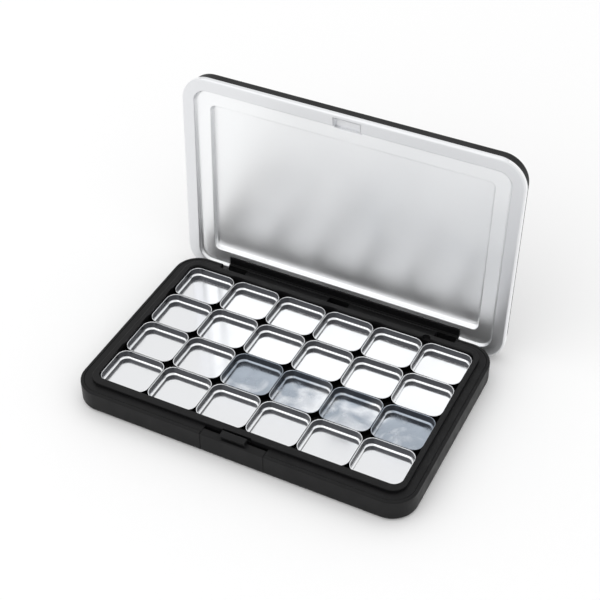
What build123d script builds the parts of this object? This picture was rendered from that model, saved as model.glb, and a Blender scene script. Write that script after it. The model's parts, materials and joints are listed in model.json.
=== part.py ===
"""Slim hinged watercolour case: a black two-part base, a silver-lined lid on a rear hinge, a
push latch at the front and 24 loose steel pans on a magnetic sheet.

Frame: millimetres, origin at the centre of the base's underside, +X along the long side,
-Y towards the latch, +Z up. The lid is drawn closed and then turned to its open rest pose.
"""

from build123d import *
import os

# Base: outer shell
CASE_LENGTH = 128.1
CASE_DEPTH = 82.6
RIM_HEIGHT = 8.8
CASE_CORNER = 9.5
SHELL_WALL = 1.2
SHELL_FLOOR = 1.2
UNDER_EDGE = 1.5
RIM_EDGE = 0.5
PLATE_DROP = 0.1
PLATE_INSET = 1.55
PLATE_HALF_DEPTH = 37.06
PLATE_CORNER = 8.0
PLATE_GAP = 0.05

# Base: inner frame with its ledge, raised lip and well
SEAM = 0.15
LEDGE_DROP = 0.1
LIP_HEIGHT = 1.3
LIP_SIDE_INSET = 4.15
LIP_FRONT_INSET = 4.3
LIP_BACK_INSET = 3.8
LIP_EDGE = 0.3
WELL_SIDE_MARGIN = 0.45
WELL_END_MARGIN = 0.35
WELL_CORNER = 3.6
SHEET_THICKNESS = 1.0
NOTCH_RADIUS = 1.6

# Pans
PAN_COLUMNS = 6
PAN_ROWS = 4
PAN_PITCH_X = 19.3
PAN_PITCH_Y = 17.27
PAN_GAP = 0.2
PAN_HEIGHT = 3.4
PAN_WALL = 0.3
PAN_CORNER = 3.8
PAN_FOOT_RADIUS = 1.2
PAN_SHIFT_Y = 0.6

# Lid: silver tray
LID_GAP = 0.25
LID_SIDE_OVERHANG = 1.3
LID_REAR_OVERHANG = 2.3
LID_CORNER = 10.8
TRAY_SHEET = 0.45
BAND_HEIGHT = 1.5
BAND_WALL = 0.8
BAND_EDGE = 0.35
FLANGE_WIDTH = 5.1
LEDGE_WIDTH = 6.0
STEP_DEPTH = 1.5
FLOOR_DEPTH = 3.5
FLANGE_CORNER = 5.2
FLOOR_CORNER = 2.2

# Lid: black shell
LID_THICKNESS = 7.0
LID_SHELL_INSET = 0.9
LID_SHELL_WALL = 1.2
LID_SHELL_ROOF = 1.2
LID_SHELL_EDGE = 1.6

# Hinge
OPEN_ANGLE = 92.0
AXIS_Y = 39.55
AXIS_Z = 4.55
PIN_RADIUS = 0.75
PIN_CLEARANCE = 0.05
KNUCKLE_RADIUS = 1.8
KNUCKLE_GAP = 0.2
BASE_KNUCKLE = 8.0
SLOT_HALF = 48.4
CUT_HALF = 47.8
SLOT_CLEARANCE = 0.35
BACK_WALL_TOP = 2.3
WEB_HALF = 1.4
LEAF_FRONT = 0.3
LEAF_THICKNESS = 1.6
LEAF_GAP = 0.2
LEAF_LIP_ROOM = 0.3
LEAF_WALL_GAP = 0.05
KNUCKLE_POST_FRONT = 1.2
KNUCKLE_POST_BACK = 0.4
KNUCKLE_POST_ROOT = 0.5
WEB_ROOT = 0.1
PIN_END_GAP = 0.3
CUT_LENGTH = 9.0
CUT_EXTRA = 0.01

# Latch
BUTTON_WIDTH = 24.0
BUTTON_DEPTH = 2.9
BUTTON_GAP = 0.12
BUTTON_TRAVEL = 1.2
BUTTON_BOTTOM = 0.3
HOOK_WIDTH = 9.4
HOOK_HEIGHT = 2.2
HOOK_STEM = 1.6
HOOK_NOSE = 0.7
HOOK_NOSE_HEIGHT = 1.1
HOOK_EDGE = 0.4
HOOK_BACK = 3.2
RELIEF_MARGIN = 0.7
RELIEF_BACK = 0.3
SPRING_THICKNESS = 0.3
SPRING_HEIGHT = 3.0
SPRING_WIDTH = 16.0
SPRING_Z = 4.5
SPRING_ROOM = 1.3
SPRING_SIDE_ROOM = 0.4
SPRING_TOUCH = 0.05
POCKET_MARGIN = 0.45
POCKET_DEPTH = 2.6
POCKET_WALL = 0.3

HALF_LENGTH = CASE_LENGTH / 2
HALF_DEPTH = CASE_DEPTH / 2
LEDGE_Z = RIM_HEIGHT - LEDGE_DROP
SHEET_TOP = RIM_HEIGHT - PAN_HEIGHT
WELL_FLOOR = SHEET_TOP - SHEET_THICKNESS
PAN_LENGTH = PAN_PITCH_X - PAN_GAP
PAN_DEPTH = PAN_PITCH_Y - PAN_GAP
LID_PLANE = RIM_HEIGHT + LID_GAP
LID_FRONT = -HALF_DEPTH - LID_SIDE_OVERHANG
LID_REAR = HALF_DEPTH + LID_REAR_OVERHANG
FRONT_FACE = -HALF_DEPTH
BUTTON_BACK = FRONT_FACE + BUTTON_DEPTH
PIN_BORE = PIN_RADIUS + PIN_CLEARANCE


def block(x_low, x_high, y_low, y_high, z_low, z_high, corner=0.0):
    """A box between the given faces, its upright edges rounded to the corner radius."""
    width, depth = x_high - x_low, y_high - y_low
    outline = RectangleRounded(width, depth, corner) if corner else Rectangle(width, depth)
    middle = Pos((x_low + x_high) / 2, (y_low + y_high) / 2, z_low)
    return middle * extrude(outline, z_high - z_low)


def centred(half_x, y_low, y_high, z_low, z_high, corner=0.0):
    """A block that is symmetric about the case's middle plane."""
    return block(-half_x, half_x, y_low, y_high, z_low, z_high, corner)


def rod(radius, x_low, x_high):
    """A cylinder along the hinge axis."""
    return Pos((x_low + x_high) / 2, AXIS_Y, AXIS_Z) * Rot(0, 90, 0) * Cylinder(radius, x_high - x_low)


def edges_at(solid, height):
    """The edges that lie wholly at one height."""
    return solid.edges().filter_by_position(Axis.Z, height, height)


def knuckle_spans():
    """X spans of the base's knuckles, and of the lid's knuckles between them."""
    ends = CUT_HALF - KNUCKLE_GAP
    half = BASE_KNUCKLE / 2
    base = [(-ends, -ends + BASE_KNUCKLE), (-half, half), (ends - BASE_KNUCKLE, ends)]
    lid = [(low[1] + KNUCKLE_GAP, high[0] - KNUCKLE_GAP) for low, high in zip(base, base[1:])]
    return base, lid


def button_space():
    """The gap at the front that the latch button slides in, open through the front and below."""
    side = BUTTON_WIDTH / 2 + BUTTON_GAP
    back = BUTTON_BACK + BUTTON_TRAVEL + BUTTON_GAP
    return centred(side, FRONT_FACE - 1, back, -1, RIM_HEIGHT + 1)


def base_shell():
    """Black outer wall with a rounded underside, cut low behind the hinge."""
    tray = centred(HALF_LENGTH, -HALF_DEPTH, HALF_DEPTH, PLATE_DROP, RIM_HEIGHT, CASE_CORNER)
    tray = fillet(edges_at(tray, PLATE_DROP), UNDER_EDGE)
    tray = fillet(edges_at(tray, RIM_HEIGHT), RIM_EDGE)
    inner = HALF_DEPTH - SHELL_WALL
    tray -= centred(
        HALF_LENGTH - SHELL_WALL, -inner, inner, SHELL_FLOOR, RIM_HEIGHT + 1, CASE_CORNER - SHELL_WALL
    )
    tray -= centred(SLOT_HALF, HALF_DEPTH - 3, HALF_DEPTH + 1, BACK_WALL_TOP, RIM_HEIGHT + 1)
    tray -= plate_outline(PLATE_GAP, -1, RIM_HEIGHT)
    return tray - button_space()


def plate_outline(extra, low, high):
    """The underside plate's outline, grown sideways by the extra."""
    half_x = HALF_LENGTH - PLATE_INSET + extra
    half_y = PLATE_HALF_DEPTH + extra
    return centred(half_x, -half_y, half_y, low, high, PLATE_CORNER + extra)


def base_plate():
    """Flat plate that closes the underside and carries the case."""
    return plate_outline(0, 0, SHELL_FLOOR)


def well_bounds():
    """Half length, front and back of the well that holds the pans."""
    half_x = PAN_COLUMNS * PAN_PITCH_X / 2 + WELL_END_MARGIN - PAN_GAP
    half_y = PAN_ROWS * PAN_PITCH_Y / 2 + WELL_SIDE_MARGIN - PAN_GAP
    return half_x, PAN_SHIFT_Y - half_y, PAN_SHIFT_Y + half_y


def hinge_slot():
    """The trough along the back that the knuckles turn in, open to the rear and above."""
    front = AXIS_Y - KNUCKLE_RADIUS - SLOT_CLEARANCE
    floor = AXIS_Z - KNUCKLE_RADIUS - SLOT_CLEARANCE
    return centred(SLOT_HALF, front, HALF_DEPTH + 1, floor, RIM_HEIGHT + LIP_HEIGHT + 1)


def spring_pocket():
    """The room behind the latch button for its leaf spring."""
    front = BUTTON_BACK + BUTTON_TRAVEL
    half_z = SPRING_HEIGHT / 2 + SPRING_SIDE_ROOM
    half_x = SPRING_WIDTH / 2 + SPRING_SIDE_ROOM
    return centred(half_x, front - 1, front + SPRING_ROOM, SPRING_Z - half_z, SPRING_Z + half_z)


def hook_relief():
    """The shallow bay in the lip that the hook backs into when the button is pressed."""
    half_x = HOOK_WIDTH / 2 + RELIEF_MARGIN
    back = FRONT_FACE + HOOK_BACK + BUTTON_TRAVEL + RELIEF_BACK
    return centred(half_x, FRONT_FACE, back, LEDGE_Z, LEDGE_Z + LIP_HEIGHT + 1)


def base_frame():
    """Black moulded frame inside the shell: floor, well, ledge, raised lip and hinge knuckles."""
    inset = SHELL_WALL + SEAM
    half_y = HALF_DEPTH - inset
    corner = CASE_CORNER - inset
    frame = centred(HALF_LENGTH - inset, -half_y, half_y, SHELL_FLOOR, LEDGE_Z, corner)
    lip_x = HALF_LENGTH - LIP_SIDE_INSET
    lip_front, lip_back = -HALF_DEPTH + LIP_FRONT_INSET, HALF_DEPTH - LIP_BACK_INSET
    lip_top = LEDGE_Z + LIP_HEIGHT
    frame += centred(lip_x, lip_front, lip_back, LEDGE_Z, lip_top, CASE_CORNER - LIP_SIDE_INSET)
    frame = fillet(edges_at(frame, lip_top), LIP_EDGE)
    well_x, well_front, well_back = well_bounds()
    frame -= centred(well_x, well_front, well_back, WELL_FLOOR, lip_top + 1, WELL_CORNER)
    notch_x = (PAN_COLUMNS / 2 - 1) * PAN_PITCH_X
    notch = Pos(notch_x, well_back, LEDGE_Z) * extrude(Circle(NOTCH_RADIUS), LIP_HEIGHT + 1)
    frame -= notch
    frame -= hinge_slot()
    frame -= button_space()
    frame -= spring_pocket()
    frame -= hook_relief()
    for low, high in knuckle_spans()[0]:
        knuckle = rod(KNUCKLE_RADIUS, low, high)
        root = AXIS_Z - KNUCKLE_RADIUS - SLOT_CLEARANCE - KNUCKLE_POST_ROOT
        front, back = AXIS_Y - KNUCKLE_POST_FRONT, AXIS_Y + KNUCKLE_POST_BACK
        knuckle += block(low, high, front, back, root, AXIS_Z)
        frame += knuckle
    return frame - rod(PIN_BORE, -CUT_HALF, CUT_HALF)


def magnetic_sheet():
    """Flexible magnet sheet on the frame's floor, which holds the steel pans."""
    half_x, front, back = well_bounds()
    gap = PAN_GAP
    return centred(half_x - gap, front + gap, back - gap, WELL_FLOOR, SHEET_TOP, WELL_CORNER - gap)


def pan(column, row):
    """One pressed steel pan; column 1 is at the left and row 1 is at the front."""
    x = (column - (PAN_COLUMNS + 1) / 2) * PAN_PITCH_X
    y = (row - (PAN_ROWS + 1) / 2) * PAN_PITCH_Y + PAN_SHIFT_Y
    outer = extrude(RectangleRounded(PAN_LENGTH, PAN_DEPTH, PAN_CORNER), PAN_HEIGHT)
    outer = fillet(edges_at(outer, 0), PAN_FOOT_RADIUS)
    inside = RectangleRounded(
        PAN_LENGTH - 2 * PAN_WALL, PAN_DEPTH - 2 * PAN_WALL, PAN_CORNER - PAN_WALL
    )
    hollow = extrude(inside, PAN_HEIGHT)
    hollow = Pos(0, 0, PAN_WALL) * fillet(edges_at(hollow, 0), PAN_FOOT_RADIUS - PAN_WALL)
    return Pos(x, y, SHEET_TOP) * (outer - hollow)


def hinge_pin():
    """Steel rod through every knuckle."""
    end = CUT_HALF - KNUCKLE_GAP - PIN_END_GAP
    return rod(PIN_RADIUS, -end, end)


def lid_outline(inset, low, high, corner):
    """A block of the closed lid, inset all round from the lid's edge."""
    half = HALF_LENGTH + LID_SIDE_OVERHANG - inset
    return centred(half, LID_FRONT + inset, LID_REAR - inset, LID_PLANE + low, LID_PLANE + high, corner)


def hinge_cut(depth):
    """The part of the lid's rear edge that is cut away for the hinge leaf."""
    rear = LID_REAR
    return centred(CUT_HALF, rear - CUT_LENGTH, rear + 1, LID_PLANE - 1, LID_PLANE + depth)


def catch_pocket(wall, depth):
    """The room in the lid's front edge that the hook rises into and slides back in."""
    half_x = HOOK_WIDTH / 2 + POCKET_MARGIN + wall
    front = FRONT_FACE + HOOK_BACK - HOOK_STEM - HOOK_NOSE - POCKET_MARGIN - wall
    back = FRONT_FACE + HOOK_BACK + BUTTON_TRAVEL + POCKET_MARGIN + wall
    return centred(half_x, front, back, LID_PLANE - 1, LID_PLANE + depth)


def lid_tray():
    """Pressed silver tray: rounded edge band, flange, first step, ledge and mixing floor."""
    ledge_inset = FLANGE_WIDTH
    floor_inset = FLANGE_WIDTH + LEDGE_WIDTH
    tray = lid_outline(0, 0, BAND_HEIGHT, LID_CORNER)
    tray = fillet(edges_at(tray, LID_PLANE), BAND_EDGE)
    tray -= lid_outline(BAND_WALL, TRAY_SHEET, BAND_HEIGHT + 1, LID_CORNER - BAND_WALL)
    tray += lid_outline(
        ledge_inset - TRAY_SHEET, 0, STEP_DEPTH + TRAY_SHEET, FLANGE_CORNER + TRAY_SHEET
    )
    tray += lid_outline(
        floor_inset - TRAY_SHEET, STEP_DEPTH, FLOOR_DEPTH + TRAY_SHEET, FLOOR_CORNER + TRAY_SHEET
    )
    tray -= lid_outline(ledge_inset, -1, STEP_DEPTH, FLANGE_CORNER)
    tray -= lid_outline(floor_inset, STEP_DEPTH - 1, FLOOR_DEPTH, FLOOR_CORNER)
    tray -= hinge_cut(STEP_DEPTH + TRAY_SHEET + CUT_EXTRA)
    return tray - catch_pocket(POCKET_WALL, POCKET_DEPTH)


def catch_cup():
    """Pressed pocket let into the tray's front edge, which the hook's nose catches in."""
    cup = catch_pocket(POCKET_WALL, POCKET_DEPTH + POCKET_WALL) - catch_pocket(0, POCKET_DEPTH)
    cup -= lid_outline(-1, -2, 0, LID_CORNER)
    return cup - lid_outline(FLANGE_WIDTH, -1, STEP_DEPTH, FLANGE_CORNER)


def lid_shell():
    """Black outer cover of the lid, a little smaller than the silver band around it."""
    shell = lid_outline(LID_SHELL_INSET, BAND_HEIGHT, LID_THICKNESS, LID_CORNER - LID_SHELL_INSET)
    shell = fillet(edges_at(shell, LID_PLANE + LID_THICKNESS), LID_SHELL_EDGE)
    inner = LID_SHELL_INSET + LID_SHELL_WALL
    roof = LID_THICKNESS - LID_SHELL_ROOF
    shell -= lid_outline(inner, BAND_HEIGHT - 1, roof, LID_CORNER - inner)
    return shell - catch_pocket(POCKET_WALL, POCKET_DEPTH + POCKET_WALL)


def hinge_leaf():
    """Black strip in the lid's rear cut-out with the knuckles that turn on the pin."""
    half = CUT_HALF - KNUCKLE_GAP
    rear, front = LID_REAR - LEAF_GAP, LID_REAR - CUT_LENGTH + LEAF_GAP
    low = LID_PLANE + LEAF_FRONT
    leaf = centred(half, front, rear, low, low + LEAF_THICKNESS)
    lip_back = HALF_DEPTH - LIP_BACK_INSET
    lip_top = LEDGE_Z + LIP_HEIGHT
    leaf -= centred(CUT_HALF, front - 1, lip_back + LEAF_LIP_ROOM, low - 1, lip_top + LEAF_LIP_ROOM)
    wall_front = rear - LID_SHELL_INSET - LID_SHELL_WALL
    leaf -= centred(
        CUT_HALF, wall_front, LID_REAR, LID_PLANE + BAND_HEIGHT - LEAF_WALL_GAP, LID_PLANE + LID_THICKNESS
    )
    for x_low, x_high in knuckle_spans()[1]:
        leaf += rod(KNUCKLE_RADIUS, x_low, x_high)
        leaf += block(x_low, x_high, AXIS_Y - WEB_HALF, AXIS_Y + WEB_HALF, AXIS_Z, low + WEB_ROOT)
    return leaf - rod(PIN_BORE, -CUT_HALF, CUT_HALF)


def latch_button():
    """Front push block with the hook that holds the lid shut."""
    half = BUTTON_WIDTH / 2
    body = centred(half, FRONT_FACE, BUTTON_BACK, BUTTON_BOTTOM, RIM_HEIGHT)
    front = body.edges().filter_by(Axis.X).filter_by_position(Axis.Y, FRONT_FACE, FRONT_FACE)
    bottom_edge, top_edge = front.sort_by(Axis.Z)
    body = fillet(bottom_edge, UNDER_EDGE - BUTTON_BOTTOM)
    body = fillet(body.edges().filter_by(Axis.X).group_by(Axis.Z)[-1].sort_by(Axis.Y)[0], RIM_EDGE)
    hook_back = FRONT_FACE + HOOK_BACK
    stem_front = hook_back - HOOK_STEM
    nose_front = stem_front - HOOK_NOSE
    top = RIM_HEIGHT + HOOK_HEIGHT
    half_hook = HOOK_WIDTH / 2
    body += centred(half_hook, stem_front, hook_back, RIM_HEIGHT, top)
    body += centred(half_hook, nose_front, hook_back, top - HOOK_NOSE_HEIGHT, top)
    hook_top = body.edges().filter_by(Axis.X).filter_by_position(Axis.Z, top, top)
    return fillet(hook_top, HOOK_EDGE)


def latch_spring():
    """Bowed steel leaf between the button and the frame."""
    inset = SPRING_THICKNESS / 2 + SPRING_TOUCH
    crown = BUTTON_BACK + inset
    ends = BUTTON_BACK + BUTTON_TRAVEL + SPRING_ROOM - inset
    half = SPRING_WIDTH / 2
    bow = ThreePointArc((-half, ends), (0, crown), (half, ends))
    strip = trace(bow, SPRING_THICKNESS)
    return Pos(0, 0, SPRING_Z - SPRING_HEIGHT / 2) * extrude(strip, SPRING_HEIGHT)


def opened(solid):
    """The closed lid's part, turned about the hinge to the open rest pose."""
    to_axis = Pos(0, AXIS_Y, AXIS_Z)
    return to_axis * Rot(-OPEN_ANGLE, 0, 0) * to_axis.inverse() * solid


def main():
    nodes = {
        "base_shell": base_shell(),
        "base_plate": base_plate(),
        "base_frame": base_frame(),
        "magnetic_sheet": magnetic_sheet(),
        "hinge_pin": hinge_pin(),
        "latch_button": latch_button(),
        "latch_spring": latch_spring(),
        "lid_shell": opened(lid_shell()),
        "lid_tray": opened(lid_tray()),
        "lid_catch_cup": opened(catch_cup()),
        "lid_hinge_leaf": opened(hinge_leaf()),
    }
    for row in range(1, PAN_ROWS + 1):
        for column in range(1, PAN_COLUMNS + 1):
            nodes[f"pan_row{row}_col{column}"] = pan(column, row)
    os.makedirs("parts", exist_ok=True)
    for name, solid in nodes.items():
        export_step(solid, f"parts/{name}.step")


main()
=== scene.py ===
import json
import math
import random

import bmesh
import bpy
from mathutils import Matrix, Vector


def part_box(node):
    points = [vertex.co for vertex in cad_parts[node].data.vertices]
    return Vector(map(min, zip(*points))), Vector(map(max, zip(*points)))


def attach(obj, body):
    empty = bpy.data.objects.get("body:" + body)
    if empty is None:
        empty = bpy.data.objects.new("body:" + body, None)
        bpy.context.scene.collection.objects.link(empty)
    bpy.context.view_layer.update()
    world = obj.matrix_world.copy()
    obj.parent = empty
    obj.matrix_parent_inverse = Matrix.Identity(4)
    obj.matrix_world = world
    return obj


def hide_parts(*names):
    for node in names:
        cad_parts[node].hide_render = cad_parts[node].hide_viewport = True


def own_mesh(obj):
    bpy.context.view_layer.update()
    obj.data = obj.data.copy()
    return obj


bl_info = {
    "name": "Watercolour pan set",
    "version": (1, 0, 0),
    "blender": (4, 5, 0),
    "location": "View3D > Sidebar > Pan set",
    "description": "Builds the finish pieces of a hinged watercolour case around its CAD frame",
    "category": "Object",
}

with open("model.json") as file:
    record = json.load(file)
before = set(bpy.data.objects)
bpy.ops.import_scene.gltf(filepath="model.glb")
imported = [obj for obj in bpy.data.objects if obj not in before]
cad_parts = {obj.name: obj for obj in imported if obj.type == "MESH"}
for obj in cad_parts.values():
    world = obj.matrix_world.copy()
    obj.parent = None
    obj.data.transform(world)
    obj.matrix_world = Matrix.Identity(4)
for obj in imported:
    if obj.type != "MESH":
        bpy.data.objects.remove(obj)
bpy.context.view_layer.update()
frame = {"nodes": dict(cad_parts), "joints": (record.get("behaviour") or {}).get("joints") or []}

MM = 0.001
NODES = frame["nodes"]
HINGE = next(joint for joint in frame["joints"] if joint["name"] == "lid_hinge")
OPENING = (
    Matrix.Translation(HINGE["pos_m"])
    @ Matrix.Rotation(-math.radians(HINGE["range_deg"][1]), 4, "X")
    @ Matrix.Translation(HINGE["pos_m"]).inverted()
)
CORNER_STEPS = 12
ROUND_STEPS = 5


def closed_box(node):
    """Lowest and highest corner of a lid node with the lid turned shut."""
    shut = OPENING.inverted()
    points = [shut @ vertex.co for vertex in NODES[node].data.vertices]
    low = Vector([min(point[axis] for point in points) for axis in range(3)])
    high = Vector([max(point[axis] for point in points) for axis in range(3)])
    return low, high


LID_LOW, LID_HIGH = closed_box("lid_tray")


# ---------------------------------------------------------------- settings

def length(name, description, default):
    """A property that holds a length in metres."""
    return bpy.props.FloatProperty(
        name=name, description=description, default=default, min=0.0, unit="LENGTH", precision=5
    )


def colour(name, description, default):
    """A property that holds an sRGB colour as hex digits."""
    return bpy.props.StringProperty(name=name, description=description, default=default, maxlen=7)


class TraySettings(bpy.types.PropertyGroup):
    """Sizes of the silver tray pressed into the lid."""

    sheet: length("Sheet", "Thickness of the tray's sheet metal", 0.45 * MM)
    corner: length("Corner", "Plan radius of the lid's corners", 10.8 * MM)
    band: length("Band height", "Height of the rolled edge band", 1.5 * MM)
    band_wall: length("Band wall", "Thickness of the rolled edge band", 0.8 * MM)
    bead: length("Bead", "Radius of the band's rounded front edge", 0.9 * MM)
    flange: length("Flange", "Width of the flat flange inside the band", 5.1 * MM)
    flange_corner: length("Flange corner", "Plan radius inside the flange", 5.2 * MM)
    ledge: length("Ledge", "Width of the ledge between the two steps", 6.0 * MM)
    first_step: length("First step", "Depth from the flange to the ledge", 1.5 * MM)
    second_step: length("Second step", "Depth from the ledge to the mixing floor", 2.0 * MM)
    floor_corner: length("Floor corner", "Plan radius of the mixing floor", 2.2 * MM)
    cut_length: length("Hinge cut", "Depth of the cut-out for the hinge leaf", 9.0 * MM)
    cut_gap: length("Cut gap", "Gap at each end of the hinge leaf", 0.2 * MM)
    draw: length("Draw radius", "Fillet at the foot of each pressed wall", 1.0 * MM)
    crest: length("Crest radius", "Fillet at the top of each pressed wall", 0.4 * MM)


class PanSettings(bpy.types.PropertyGroup):
    """Sizes of the loose steel pans."""

    wall: length("Wall", "Thickness of the pan's steel", 0.3 * MM)
    corner: length("Corner", "Plan radius of the pan's corners", 3.8 * MM)
    foot: length("Foot", "Radius between the wall and the floor", 1.2 * MM)
    skew: bpy.props.FloatProperty(
        name="Skew",
        description="How far a loose pan may sit turned in its place",
        default=math.radians(0.5),
        subtype="ANGLE",
    )


class MouldingSettings(bpy.types.PropertyGroup):
    """Sizes of the black moulded parts."""

    soft_edge: length("Soft edge", "Width of the broken edges on moulded parts", 0.16 * MM)


class FinishSettings(bpy.types.PropertyGroup):
    """Colours of the finishes, as sRGB hex."""

    plastic: colour("Moulded black", "Black ABS of the case", "#101011")
    coating: colour("Lid black", "Black ABS of the lid", "#151516")
    rubber: colour("Magnet sheet", "Flexible magnet", "#08080a")
    silver: colour("Tray silver", "Anodised aluminium tray", "#e6e7e9")
    # painted highlight: the mixing floor is a lighter copy of the tray's silver, standing in for its
    # bright reflection
    mirror: colour("Tray floor", "Aluminium of the mixing floor, lightened as painted highlight", "#fafbfc")
    steel: colour("Pan steel", "Polished stainless steel", "#eff0f2")
    # painted reflection: a cooler, darker tint for four pans, standing in for the cloudy reflection in
    # them
    painted_reflection_tint: colour("Painted reflection steel", "Steel tinted with a painted cloudy reflection", "#a3abb5")
    # painted shade: a darker copy of the pan steel for the pan walls, standing in for their dark
    # reflection
    painted_wall_shade: colour("Painted wall shade", "Pan walls darkened with painted shade", "#434447")
    wire: colour("Wire steel", "Pin and spring steel", "#9c9da0")
    paper: colour("Floor", "Pale studio floor", "#fbfbfb")


# ---------------------------------------------------------------- materials

def linear(text):
    """An sRGB hex colour as linear RGBA."""
    parts = [int(text[i:i + 2], 16) / 255 for i in (1, 3, 5)]
    return [c / 12.92 if c <= 0.04045 else ((c + 0.055) / 1.055) ** 2.4 for c in parts] + [1.0]


def add_node(tree, kind, settings=None, inputs=None, links=None):
    """Adds a node, sets its fields and sockets, and links {socket: (node, output)}."""
    node = tree.nodes.new(kind)
    for field, value in (settings or {}).items():
        setattr(node, field, value)
    for socket, value in (inputs or {}).items():
        node.inputs[socket].default_value = value
    for socket, (source, output) in (links or {}).items():
        tree.links.new(source.outputs[output], node.inputs[socket])
    return node


def new_material(name):
    """An empty node material with its output, Principled shader and object coordinates."""
    material = bpy.data.materials.new(name)
    material.use_nodes = True
    tree = material.node_tree
    tree.nodes.clear()
    shader = add_node(tree, "ShaderNodeBsdfPrincipled")
    add_node(tree, "ShaderNodeOutputMaterial", links={"Surface": (shader, "BSDF")})
    place = add_node(tree, "ShaderNodeTexCoord")
    return material, tree, shader, place


def per_metre(size_mm):
    """Texture scale that repeats about once in this many millimetres."""
    return 1.0 / (size_mm * MM)


def roughness_field(tree, shader, place, size_mm, low, high):
    """Roughness that drifts between two values over a real distance."""
    drift = add_node(
        tree, "ShaderNodeTexNoise", inputs={"Scale": per_metre(size_mm), "Detail": 3.0},
        links={"Vector": (place, "Object")},
    )
    spread = add_node(
        tree, "ShaderNodeMapRange",
        inputs={"From Min": 0.35, "From Max": 0.65, "To Min": low, "To Max": high},
        links={"Value": (drift, "Fac")},
    )
    tree.links.new(spread.outputs["Result"], shader.inputs["Roughness"])


def grain_bump(tree, shader, place, size_mm, height_mm, strength, stretch=(1, 1, 1)):
    """A bump of fine grain of a real size, stretched along the object's axes."""
    mapped = add_node(
        tree, "ShaderNodeMapping", inputs={"Scale": stretch}, links={"Vector": (place, "Object")}
    )
    grain = add_node(
        tree, "ShaderNodeTexNoise", inputs={"Scale": per_metre(size_mm), "Detail": 2.0},
        links={"Vector": (mapped, "Vector")},
    )
    bump = add_node(
        tree, "ShaderNodeBump", inputs={"Strength": strength, "Distance": height_mm * MM},
        links={"Height": (grain, "Fac")},
    )
    tree.links.new(bump.outputs["Normal"], shader.inputs["Normal"])
    return bump


def moulded_abs(finish):
    """Injection moulded ABS: a spark-eroded grain that breaks the highlight into a soft sheen."""
    material, tree, shader, place = new_material("moulded black ABS")
    tint = linear(finish.plastic)
    shader.inputs["IOR"].default_value = 1.53
    shader.inputs["Specular IOR Level"].default_value = 0.18
    cloud = add_node(
        tree, "ShaderNodeTexNoise", inputs={"Scale": per_metre(14), "Detail": 4.0},
        links={"Vector": (place, "Object")},
    )
    ramp = add_node(tree, "ShaderNodeValToRGB", links={"Fac": (cloud, "Fac")})
    ramp.color_ramp.elements[0].color = [c * 0.85 for c in tint[:3]] + [1.0]
    ramp.color_ramp.elements[1].color = [c * 1.15 for c in tint[:3]] + [1.0]
    tree.links.new(ramp.outputs["Color"], shader.inputs["Base Color"])
    roughness_field(tree, shader, place, 5.0, 0.42, 0.52)
    # real spark grain is about 0.05 mm, drawn at 0.3 mm so that it still shows
    grain_bump(tree, shader, place, 0.3, 0.02, 0.35)
    return material


def satin_cover(finish):
    """Satin moulded ABS cover: a finer, shinier grain than the case that gives a broad dull highlight."""
    material, tree, shader, place = new_material("satin black ABS")
    shader.inputs["Base Color"].default_value = linear(finish.coating)
    shader.inputs["IOR"].default_value = 1.5
    shader.inputs["Specular IOR Level"].default_value = 0.22
    roughness_field(tree, shader, place, 8.0, 0.45, 0.55)
    # real grain is about 0.1 mm, drawn at 0.5 mm so that it still shows
    grain_bump(tree, shader, place, 0.5, 0.02, 0.3)
    return material


def magnet_rubber(finish):
    """Calendered magnetic rubber: flat black with a faint rolled streak along its length."""
    material, tree, shader, place = new_material("calendered magnetic rubber")
    shader.inputs["Base Color"].default_value = linear(finish.rubber)
    shader.inputs["IOR"].default_value = 1.52
    shader.inputs["Roughness"].default_value = 0.75
    grain_bump(tree, shader, place, 0.6, 0.02, 0.4, stretch=(0.1, 1, 1))
    return material


def anodised_tray(finish, name, tint, low, high, lay_mm):
    """Anodised aluminium sheet: etched satin that blurs what it mirrors into soft bands."""
    material, tree, shader, place = new_material(name)
    shader.inputs["Metallic"].default_value = 1.0
    shader.inputs["Base Color"].default_value = linear(tint)
    roughness_field(tree, shader, place, 18.0, low, high)
    # the lay runs along X, so reflections are drawn out across it
    along = add_node(tree, "ShaderNodeCombineXYZ", inputs={"X": 1.0})
    tree.links.new(along.outputs["Vector"], shader.inputs["Tangent"])
    shader.inputs["Anisotropic"].default_value = 0.6
    shader.inputs["Anisotropic Rotation"].default_value = 0.25
    # rolling lay of the sheet, runs along the case
    grain_bump(tree, shader, place, lay_mm, 0.01, 0.12, stretch=(0.06, 1, 1))
    return material


def polished_steel(finish):
    """Drawn and polished stainless steel: a mirror with the slight swell of pressed sheet."""
    material, tree, shader, place = new_material("polished stainless steel")
    shader.inputs["Metallic"].default_value = 1.0
    shader.inputs["Base Color"].default_value = linear(finish.steel)
    roughness_field(tree, shader, place, 6.0, 0.1, 0.16)
    # pressed sheet is never flat: swells several millimetres wide bend the reflections
    grain_bump(tree, shader, place, 9.0, 0.05, 0.25)
    return material


def painted_reflection_steel(finish):
    """Polished steel with a painted cloudy reflection: cooler and duller in patches, a tinted copy of the
    steel that stands in for the reflection in four pans.
    """
    material, tree, shader, place = new_material("steel with painted cloudy reflection")
    shader.inputs["Metallic"].default_value = 1.0
    film = add_node(
        tree, "ShaderNodeTexNoise", inputs={"Scale": per_metre(11), "Detail": 5.0, "Distortion": 0.6},
        links={"Vector": (place, "Object")},
    )
    # the ramp blends the painted reflection tint into the plain steel in cloudy patches
    ramp = add_node(tree, "ShaderNodeValToRGB", links={"Fac": (film, "Fac")})
    ramp.color_ramp.elements[0].position = 0.5
    ramp.color_ramp.elements[0].color = linear(finish.painted_reflection_tint)
    ramp.color_ramp.elements[1].position = 0.72
    ramp.color_ramp.elements[1].color = linear(finish.steel)
    tree.links.new(ramp.outputs["Color"], shader.inputs["Base Color"])
    roughness_field(tree, shader, place, 7.0, 0.1, 0.3)
    grain_bump(tree, shader, place, 9.0, 0.05, 0.3)
    return material


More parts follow.
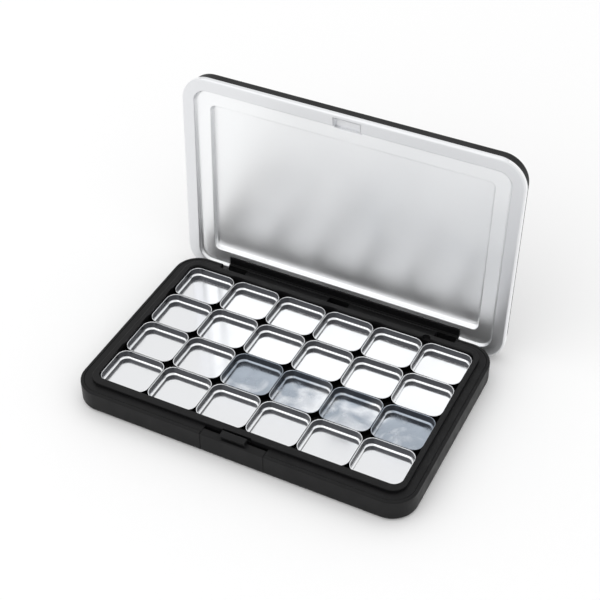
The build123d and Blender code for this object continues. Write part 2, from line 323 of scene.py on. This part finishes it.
def painted_shade_wall(finish):
    """Pan wall in painted shade, darker than the floor: a darker copy of the polished steel that stands
    in for the walls' dark reflection, with upright die lines.
    """
    material, tree, shader, place = new_material("steel with painted wall shade")
    shader.inputs["Metallic"].default_value = 1.0
    shader.inputs["Base Color"].default_value = linear(finish.painted_wall_shade)
    roughness_field(tree, shader, place, 4.0, 0.16, 0.24)
    # die lines run up the wall, about 0.4 mm apart
    grain_bump(tree, shader, place, 0.4, 0.01, 0.15, stretch=(1, 1, 0.05))
    return material


def drawn_wire(finish):
    """Drawn spring steel: fine die lines along its length."""
    material, tree, shader, place = new_material("drawn spring steel")
    shader.inputs["Metallic"].default_value = 1.0
    shader.inputs["Base Color"].default_value = linear(finish.wire)
    roughness_field(tree, shader, place, 3.0, 0.25, 0.38)
    grain_bump(tree, shader, place, 0.2, 0.01, 0.2, stretch=(0.05, 1, 1))
    return material


def studio_paper(finish):
    """Matt white sweep paper: no highlight, only the object's soft shadow."""
    material, tree, shader, place = new_material("matt sweep paper")
    shader.inputs["Base Color"].default_value = linear(finish.paper)
    shader.inputs["Roughness"].default_value = 0.95
    shader.inputs["Specular IOR Level"].default_value = 0.0
    grain_bump(tree, shader, place, 1.5, 0.02, 0.05)
    return material


def material_named(name, make, *values):
    """The finish of that name, made once."""
    return bpy.data.materials.get(name) or make(bpy.context.scene.pan_set_finish, *values)


# ---------------------------------------------------------------- mesh helpers

def ring(mesh, half_x, half_y, corner, height):
    """One rounded rectangle of edges: a circle whose quadrants are drawn apart."""
    turn = Matrix.Rotation(math.pi / (4 * CORNER_STEPS), 4, "Z")
    made = bmesh.ops.create_circle(
        mesh, cap_ends=False, radius=corner, segments=4 * CORNER_STEPS, matrix=turn
    )
    for vertex in made["verts"]:
        vertex.co.x += math.copysign(half_x - corner, vertex.co.x)
        vertex.co.y += math.copysign(half_y - corner, vertex.co.y)
        vertex.co.z = height
    return list({edge for vertex in made["verts"] for edge in vertex.link_edges})


def loft(mesh, half_x, half_y, profile):
    """A closed skin through rounded rectangles; profile holds (inset, height, corner) from cap to cap."""
    # the rings are bridged far apart, so that none shares a plane, then brought to their heights
    rings = [
        ring(mesh, half_x - inset, half_y - inset, corner, step * half_x)
        for step, (inset, _, corner) in enumerate(profile)
    ]
    for lower, upper in zip(rings, rings[1:]):
        bmesh.ops.bridge_loops(mesh, edges=lower + upper)
    for end in (rings[0], rings[-1]):
        bmesh.ops.contextual_create(mesh, geom=end)
    for vertex in mesh.verts:
        vertex.co.z = profile[round(vertex.co.z / half_x)][1]
    bmesh.ops.recalc_face_normals(mesh, faces=mesh.faces)
    if mesh.calc_volume(signed=True) < 0:
        bmesh.ops.reverse_faces(mesh, faces=mesh.faces)


def quarter(start, end, level_first, steps=ROUND_STEPS):
    """Points of a quarter round from start to end, leaving start level or upright."""
    points = []
    for step in range(steps + 1):
        angle = math.pi / 2 * step / steps
        rise, run = math.sin(angle), 1 - math.cos(angle)
        across, up = (rise, run) if level_first else (run, rise)
        points.append((start[0] + (end[0] - start[0]) * across, start[1] + (end[1] - start[1]) * up))
    return points


def finish_piece(mesh, name, material, body, replaces=(), sharp=35.0):
    """Turns a bmesh into a shown piece with smooth rounds, flat faces and its place in its mesh."""
    data = bpy.data.meshes.new(name)
    for face in mesh.faces:
        face.smooth = True
    mesh.to_mesh(data)
    mesh.free()
    data.set_sharp_from_angle(angle=math.radians(sharp))
    data.materials.append(material)
    piece = bpy.data.objects.new(name, data)
    bpy.context.scene.collection.objects.link(piece)
    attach(piece, body)
    if replaces:
        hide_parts(*replaces)
    return piece


def level_normals(piece):
    """Keeps large flat faces flat beside their rounded edges."""
    weighted = piece.modifiers.new("level normals", "WEIGHTED_NORMAL")
    weighted.keep_sharp = True


def cut(piece, low, high):
    """Cuts a box out of a piece that is drawn with the lid closed."""
    tool = bmesh.new()
    bmesh.ops.create_cube(tool, size=1.0)
    size = Vector(high) - Vector(low)
    bmesh.ops.scale(tool, vec=size, verts=tool.verts)
    bmesh.ops.translate(tool, vec=(Vector(high) + Vector(low)) / 2, verts=tool.verts)
    data = bpy.data.meshes.new("cutter")
    tool.to_mesh(data)
    tool.free()
    cutter = bpy.data.objects.new("cutter", data)
    bpy.context.scene.collection.objects.link(cutter)
    boolean = piece.modifiers.new("cut", "BOOLEAN")
    boolean.operation = "DIFFERENCE"
    boolean.solver = "EXACT"
    boolean.object = cutter
    bpy.context.view_layer.update()
    shaped = piece.evaluated_get(bpy.context.evaluated_depsgraph_get())
    result = bpy.data.meshes.new_from_object(shaped)
    piece.modifiers.remove(boolean)
    piece.data = result
    bpy.data.objects.remove(cutter)


def moulded_copy(node, name, material, body, edge):
    """A welded copy of a CAD node with its edges broken, as a moulding's are."""
    mesh = bmesh.new()
    mesh.from_mesh(NODES[node].data)
    bmesh.ops.remove_doubles(mesh, verts=mesh.verts, dist=0.002 * MM)
    bmesh.ops.dissolve_limit(
        mesh, angle_limit=math.radians(0.5), verts=mesh.verts, edges=mesh.edges, delimit={"NORMAL"}
    )
    piece = finish_piece(mesh, name, material, body, (node,), sharp=28.0)
    if edge:
        soften = piece.modifiers.new("broken edges", "BEVEL")
        soften.width = edge
        soften.segments = 2
        soften.limit_method = "ANGLE"
        soften.angle_limit = math.radians(40)
    level_normals(piece)
    return piece


# ---------------------------------------------------------------- operators

class PANSET_OT_base(bpy.types.Operator):
    """Build the black base: shell, inner frame and magnetic sheet"""

    bl_idname = "panset.base"
    bl_label = "Base"

    def execute(self, context):
        plastic = material_named("moulded black ABS", moulded_abs)
        edge = context.scene.pan_set_moulding.soft_edge
        moulded_copy("base_shell", "base_outer_shell", plastic, "base", edge)
        moulded_copy("base_frame", "base_inner_frame", plastic, "base", edge)
        moulded_copy("base_plate", "base_underside", plastic, "base", 0)
        sheet = NODES["magnetic_sheet"]
        sheet.data.materials[0] = material_named("calendered magnetic rubber", magnet_rubber)
        return {"FINISHED"}


class PANSET_OT_latch(bpy.types.Operator):
    """Build the push latch with its hook, and the leaf spring behind it"""

    bl_idname = "panset.latch"
    bl_label = "Latch"

    def execute(self, context):
        plastic = material_named("moulded black ABS", moulded_abs)
        edge = context.scene.pan_set_moulding.soft_edge
        moulded_copy("latch_button", "latch_push_block", plastic, "latch", edge)
        wire = material_named("drawn spring steel", drawn_wire)
        spring = moulded_copy("latch_spring", "latch_leaf_spring", wire, "base", 0)
        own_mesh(spring)
        return {"FINISHED"}


class PANSET_OT_hinge(bpy.types.Operator):
    """Build the hinge leaf and finish its pin"""

    bl_idname = "panset.hinge"
    bl_label = "Hinge"

    def execute(self, context):
        plastic = material_named("moulded black ABS", moulded_abs)
        edge = context.scene.pan_set_moulding.soft_edge
        moulded_copy("lid_hinge_leaf", "hinge_leaf", plastic, "lid", edge)
        NODES["hinge_pin"].data.materials[0] = material_named("drawn spring steel", drawn_wire)
        return {"FINISHED"}


def tray_profile(tray):
    """Rounded rectangles of the silver tray, from the back of its floor round to its face."""
    plane, sheet, crest, draw = LID_LOW.z, tray.sheet, tray.crest, tray.draw
    ledge_at = plane + tray.first_step
    floor_at = ledge_at + tray.second_step
    floor_inset = tray.flange + tray.ledge

    def outer(inset):
        return max(tray.corner - inset, tray.flange_corner)

    def inner(inset):
        return tray.flange_corner - (inset - tray.flange)

    def lower(inset):
        return max(tray.floor_corner - (inset - floor_inset), 0.3 * MM)

    back = [
        (floor_inset - sheet, floor_at + sheet, lower),
        (floor_inset - sheet, ledge_at + sheet, lower),
        (tray.flange - sheet, ledge_at + sheet, inner),
        (tray.flange - sheet, plane + sheet, inner),
        (tray.band_wall, plane + sheet, outer),
        (tray.band_wall, plane + tray.band, outer),
        (0.0, plane + tray.band, outer),
    ]
    face = [(x, z, outer) for x, z in quarter((0.0, plane + tray.bead), (tray.bead, plane), False)]
    crest_start, crest_end = (tray.flange - crest, plane), (tray.flange, plane + crest)
    face += [(x, z, inner) for x, z in quarter(crest_start, crest_end, True)]
    draw_start, draw_end = (tray.flange, ledge_at - draw), (tray.flange + draw, ledge_at)
    face += [(x, z, inner) for x, z in quarter(draw_start, draw_end, False)]
    crest_start, crest_end = (floor_inset - crest, ledge_at), (floor_inset, ledge_at + crest)
    face += [(x, z, lower) for x, z in quarter(crest_start, crest_end, True)]
    draw_start, draw_end = (floor_inset, floor_at - draw), (floor_inset + draw, floor_at)
    face += [(x, z, lower) for x, z in quarter(draw_start, draw_end, False)]
    return [(inset, height, corner(inset)) for inset, height, corner in back + face]


class PANSET_OT_tray(bpy.types.Operator):
    """Build the silver tray of the lid with its two steps, hinge cut-out and catch pocket"""

    bl_idname = "panset.tray"
    bl_label = "Lid tray"

    def execute(self, context):
        tray = context.scene.pan_set_tray
        middle, half = (LID_LOW + LID_HIGH) / 2, (LID_HIGH - LID_LOW) / 2
        mesh = bmesh.new()
        loft(mesh, half.x, half.y, tray_profile(tray))
        bmesh.ops.translate(mesh, vec=(middle.x, middle.y, 0), verts=mesh.verts)
        finish = context.scene.pan_set_finish
        # the mixing floor takes a lighter copy of the silver as painted highlight; the flange keeps the
        # plain silver
        satin = material_named("floor aluminium with painted highlight", anodised_tray,
                               "floor aluminium with painted highlight", finish.mirror, 0.34, 0.4, 0.35)
        flange = material_named("blasted anodised aluminium", anodised_tray,
                                "blasted anodised aluminium", finish.silver, 0.36, 0.42, 0.25)
        piece = finish_piece(mesh, "lid_silver_tray", satin, "lid", ("lid_tray",), sharp=50)
        piece.data.materials.append(flange)
        reach = tray.first_step * 0.25
        for face in piece.data.polygons:
            if face.center.z < LID_LOW.z + reach or face.center.y - LID_LOW.y < tray.band_wall:
                face.material_index = 1
        leaf_low, leaf_high = closed_box("lid_hinge_leaf")
        above = LID_LOW.z + tray.first_step + tray.sheet + 0.01 * MM
        low = (leaf_low.x - tray.cut_gap, LID_HIGH.y - tray.cut_length, LID_LOW.z - MM)
        high = (leaf_high.x + tray.cut_gap, LID_HIGH.y + MM, above)
        cut(piece, low, high)
        cup_low, cup_high = closed_box("lid_catch_cup")
        cut(piece, (cup_low.x, cup_low.y, LID_LOW.z - MM), cup_high)
        piece.data.transform(OPENING)
        level_normals(piece)
        moulded_copy("lid_catch_cup", "catch_pocket", flange, "lid", 0)
        return {"FINISHED"}


class PANSET_OT_cover(bpy.types.Operator):
    """Build the black cover of the lid"""

    bl_idname = "panset.cover"
    bl_label = "Lid cover"

    def execute(self, context):
        coating = material_named("satin black ABS", satin_cover)
        moulded_copy("lid_shell", "lid_black_cover", coating, "lid", 0)
        return {"FINISHED"}


def pan_profile(pan, height):
    """Rounded rectangles of a pan, from its underside over the rim and down to its floor."""
    wall, foot = pan.wall, pan.foot
    lip = wall / 2
    points = quarter((foot, 0.0), (0.0, foot), True)
    points += quarter((0.0, height - lip), (lip, height), False, 2)
    points += quarter((lip, height), (wall, height - lip), True, 2)[1:]
    points += quarter((wall, foot), (foot, wall), False)
    return [(inset, z, pan.corner - inset) for inset, z in points]


class PANSET_OT_pans(bpy.types.Operator):
    """Build the 24 loose steel pans, each sitting a little askew in its place"""

    bl_idname = "panset.pans"
    bl_label = "Steel pans"

    def execute(self, context):
        pan = context.scene.pan_set_pan
        bright = material_named("polished stainless steel", polished_steel)
        dull = material_named("steel with painted cloudy reflection", painted_reflection_steel)
        # the wall finish is painted shade, a darker copy of the polished steel
        wall = material_named("steel with painted wall shade", painted_shade_wall)
        chance = random.Random(11)
        for node in sorted(name for name in NODES if name.startswith("pan_row")):
            low, high = (Vector(corner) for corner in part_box(node))
            half = (high - low) / 2
            mesh = bmesh.new()
            loft(mesh, half.x, half.y, pan_profile(pan, high.z - low.z))
            skew = Matrix.Rotation(chance.uniform(-pan.skew, pan.skew), 4, "Z")
            place = Matrix.Translation(((low.x + high.x) / 2, (low.y + high.y) / 2, low.z))
            bmesh.ops.transform(mesh, matrix=place @ skew, verts=mesh.verts)
            # four pans in row 2 take the painted cloudy reflection copy of the steel
            painted_reflection_pan = "row2" in node and node[-1] in "3456"
            name = node.replace("pan_", "steel_pan_")
            piece = finish_piece(mesh, name, dull if painted_reflection_pan else bright, node, (node,))
            piece.data.materials.append(wall)
            # faces between foot and rim take the painted-shade copy of the steel
            foot, rim = low.z + pan.foot * 0.8, high.z - pan.wall
            for face in piece.data.polygons:
                if foot < face.center.z < rim:
                    face.material_index = 1
            level_normals(piece)
        return {"FINISHED"}


def area_light(name, place, aim, size, power):
    """A soft rectangular light."""
    light = bpy.data.lights.new(name, "AREA")
    light.shape = "RECTANGLE"
    light.size, light.size_y = size
    light.energy = power
    lamp = bpy.data.objects.new(name, light)
    lamp.location = place
    lamp.rotation_euler = (Vector(aim) - Vector(place)).to_track_quat("-Z", "Y").to_euler()
    bpy.context.scene.collection.objects.link(lamp)


class PANSET_OT_stage(bpy.types.Operator):
    """Set up the pale floor, the soft studio light and the camera"""

    bl_idname = "panset.stage"
    bl_label = "Stage"

    def execute(self, context):
        scene = context.scene
        mesh = bmesh.new()
        bmesh.ops.create_grid(mesh, x_segments=1, y_segments=1, size=4.0)
        data = bpy.data.meshes.new("sweep")
        mesh.to_mesh(data)
        mesh.free()
        data.materials.append(material_named("matt sweep paper", studio_paper))
        floor = bpy.data.objects.new("sweep", data)
        scene.collection.objects.link(floor)

        world = bpy.data.worlds.new("studio")
        world.use_nodes = True
        world.node_tree.nodes["Background"].inputs["Color"].default_value = (1.0, 1.0, 1.0, 1.0)
        world.node_tree.nodes["Background"].inputs["Strength"].default_value = 0.94
        scene.world = world
        area_light("front softbox", (-0.55, -0.95, 0.95), (0, 0, 0), (1.5, 1.1), 2.6)
        area_light("top softbox", (-0.1, 0.35, 1.3), (0, 0, 0.03), (0.8, 0.8), 1.0)
        scene.view_settings.view_transform = "Standard"
        scene.view_settings.look = "None"

        azimuth, elevation, roll = (math.radians(a) for a in (26.58, 40.98, -0.24))
        aim, distance = Vector((-0.0029, 0.0166, 0.0267)), 0.478
        camera_data = bpy.data.cameras.new("camera")
        camera_data.lens = 80.9
        camera_data.sensor_width = 36.0
        camera = bpy.data.objects.new("camera", camera_data)
        turn = Matrix.Rotation(azimuth, 4, "Z") @ Matrix.Rotation(math.pi / 2 - elevation, 4, "X")
        turn = turn @ Matrix.Rotation(roll, 4, "Z")
        camera.matrix_world = Matrix.Translation(aim) @ turn @ Matrix.Translation((0, 0, distance))
        scene.collection.objects.link(camera)
        scene.camera = camera
        return {"FINISHED"}


OPERATORS = (
    PANSET_OT_base,
    PANSET_OT_latch,
    PANSET_OT_hinge,
    PANSET_OT_tray,
    PANSET_OT_cover,
    PANSET_OT_pans,
    PANSET_OT_stage,
)
SETTINGS = {
    "pan_set_tray": TraySettings,
    "pan_set_pan": PanSettings,
    "pan_set_moulding": MouldingSettings,
    "pan_set_finish": FinishSettings,
}


class PANSET_PT_panel(bpy.types.Panel):
    """Lists the pieces of the pan set"""

    bl_idname = "PANSET_PT_panel"
    bl_label = "Watercolour pan set"
    bl_space_type = "VIEW_3D"
    bl_region_type = "UI"
    bl_category = "Pan set"

    def draw(self, context):
        for operator in OPERATORS:
            self.layout.operator(operator.bl_idname)
        for name, group in SETTINGS.items():
            box = self.layout.box()
            box.label(text=group.__doc__)
            for field in group.__annotations__:
                box.prop(getattr(context.scene, name), field)


CLASSES = (*SETTINGS.values(), *OPERATORS, PANSET_PT_panel)


def register():
    for cls in CLASSES:
        bpy.utils.register_class(cls)
    for name, group in SETTINGS.items():
        setattr(bpy.types.Scene, name, bpy.props.PointerProperty(type=group))


def unregister():
    for name in SETTINGS:
        delattr(bpy.types.Scene, name)
    for cls in reversed(CLASSES):
        bpy.utils.unregister_class(cls)


def main():
    register()
    for operator in OPERATORS:
        group, name = operator.bl_idname.split(".")
        getattr(getattr(bpy.ops, group), name)()


if __name__ == "__main__":
    main()
